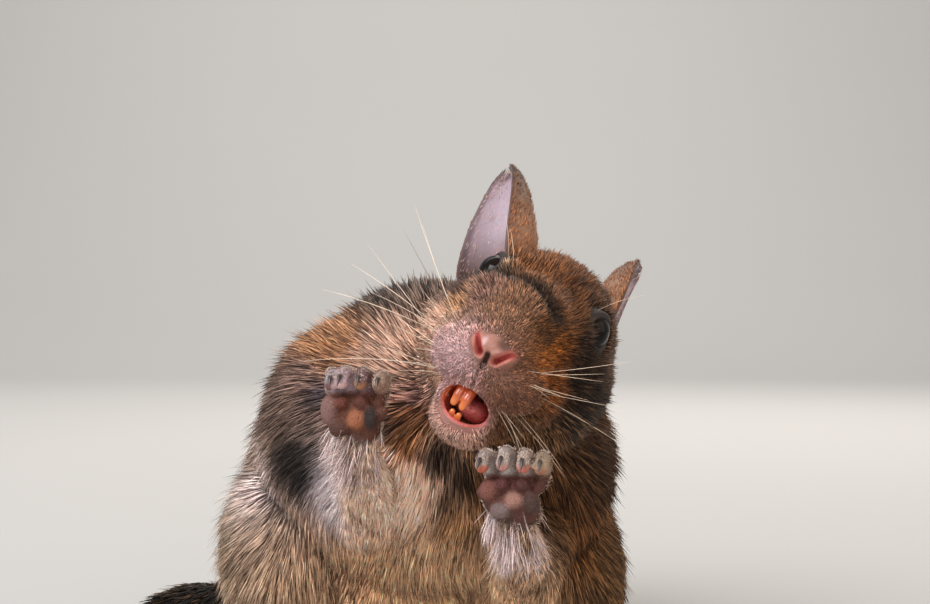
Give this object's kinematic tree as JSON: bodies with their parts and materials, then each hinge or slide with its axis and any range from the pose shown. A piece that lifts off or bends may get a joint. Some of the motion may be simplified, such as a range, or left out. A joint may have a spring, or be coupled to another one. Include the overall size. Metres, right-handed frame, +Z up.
{
  "type": "degu",
  "caption": "Life-size still degu sitting on its haunches, head tilted with the mouth open, fore paws raised in a grip, tufted tail on the floor.",
  "frame": {"origin": "on the floor, under the middle of the whole animal's bounding box", "axes": "+Z up, the animal faces -Y, +X is towards its left side"},
  "size_m": [0.1124, 0.152, 0.1045],
  "materials": {
    "fur": "golden-brown ticked fur",
    "belly": "cream fur",
    "skin": "bare pink-brown skin",
    "ear": "thin greyish-pink skin",
    "eye": "wet, nearly black",
    "tooth": "orange enamel",
    "tongue": "moist red",
    "tail": "dark brown to black hair"
  },
  "bodies": {
    "root": {"belly_and_rump": "fur", "chest": "fur", "ear_left": "ear", "ear_right": "ear", "eye_left": "eye", "eye_right": "eye", "foot_left": "skin", "foot_right": "skin", "forearm_left": "fur", "forearm_right": "fur", "hand_left": "skin", "hand_right": "skin", "head": "fur", "incisors_lower": "tooth", "incisors_upper": "tooth", "lower_jaw": "belly", "neck": "fur", "tail_1": "tail", "tail_2": "tail", "tail_3": "tail", "tail_tuft": "tail", "thigh_left": "fur", "thigh_right": "fur", "tongue": "tongue", "upper_arm_left": "fur", "upper_arm_right": "fur"}
  },
  "joints": []
}
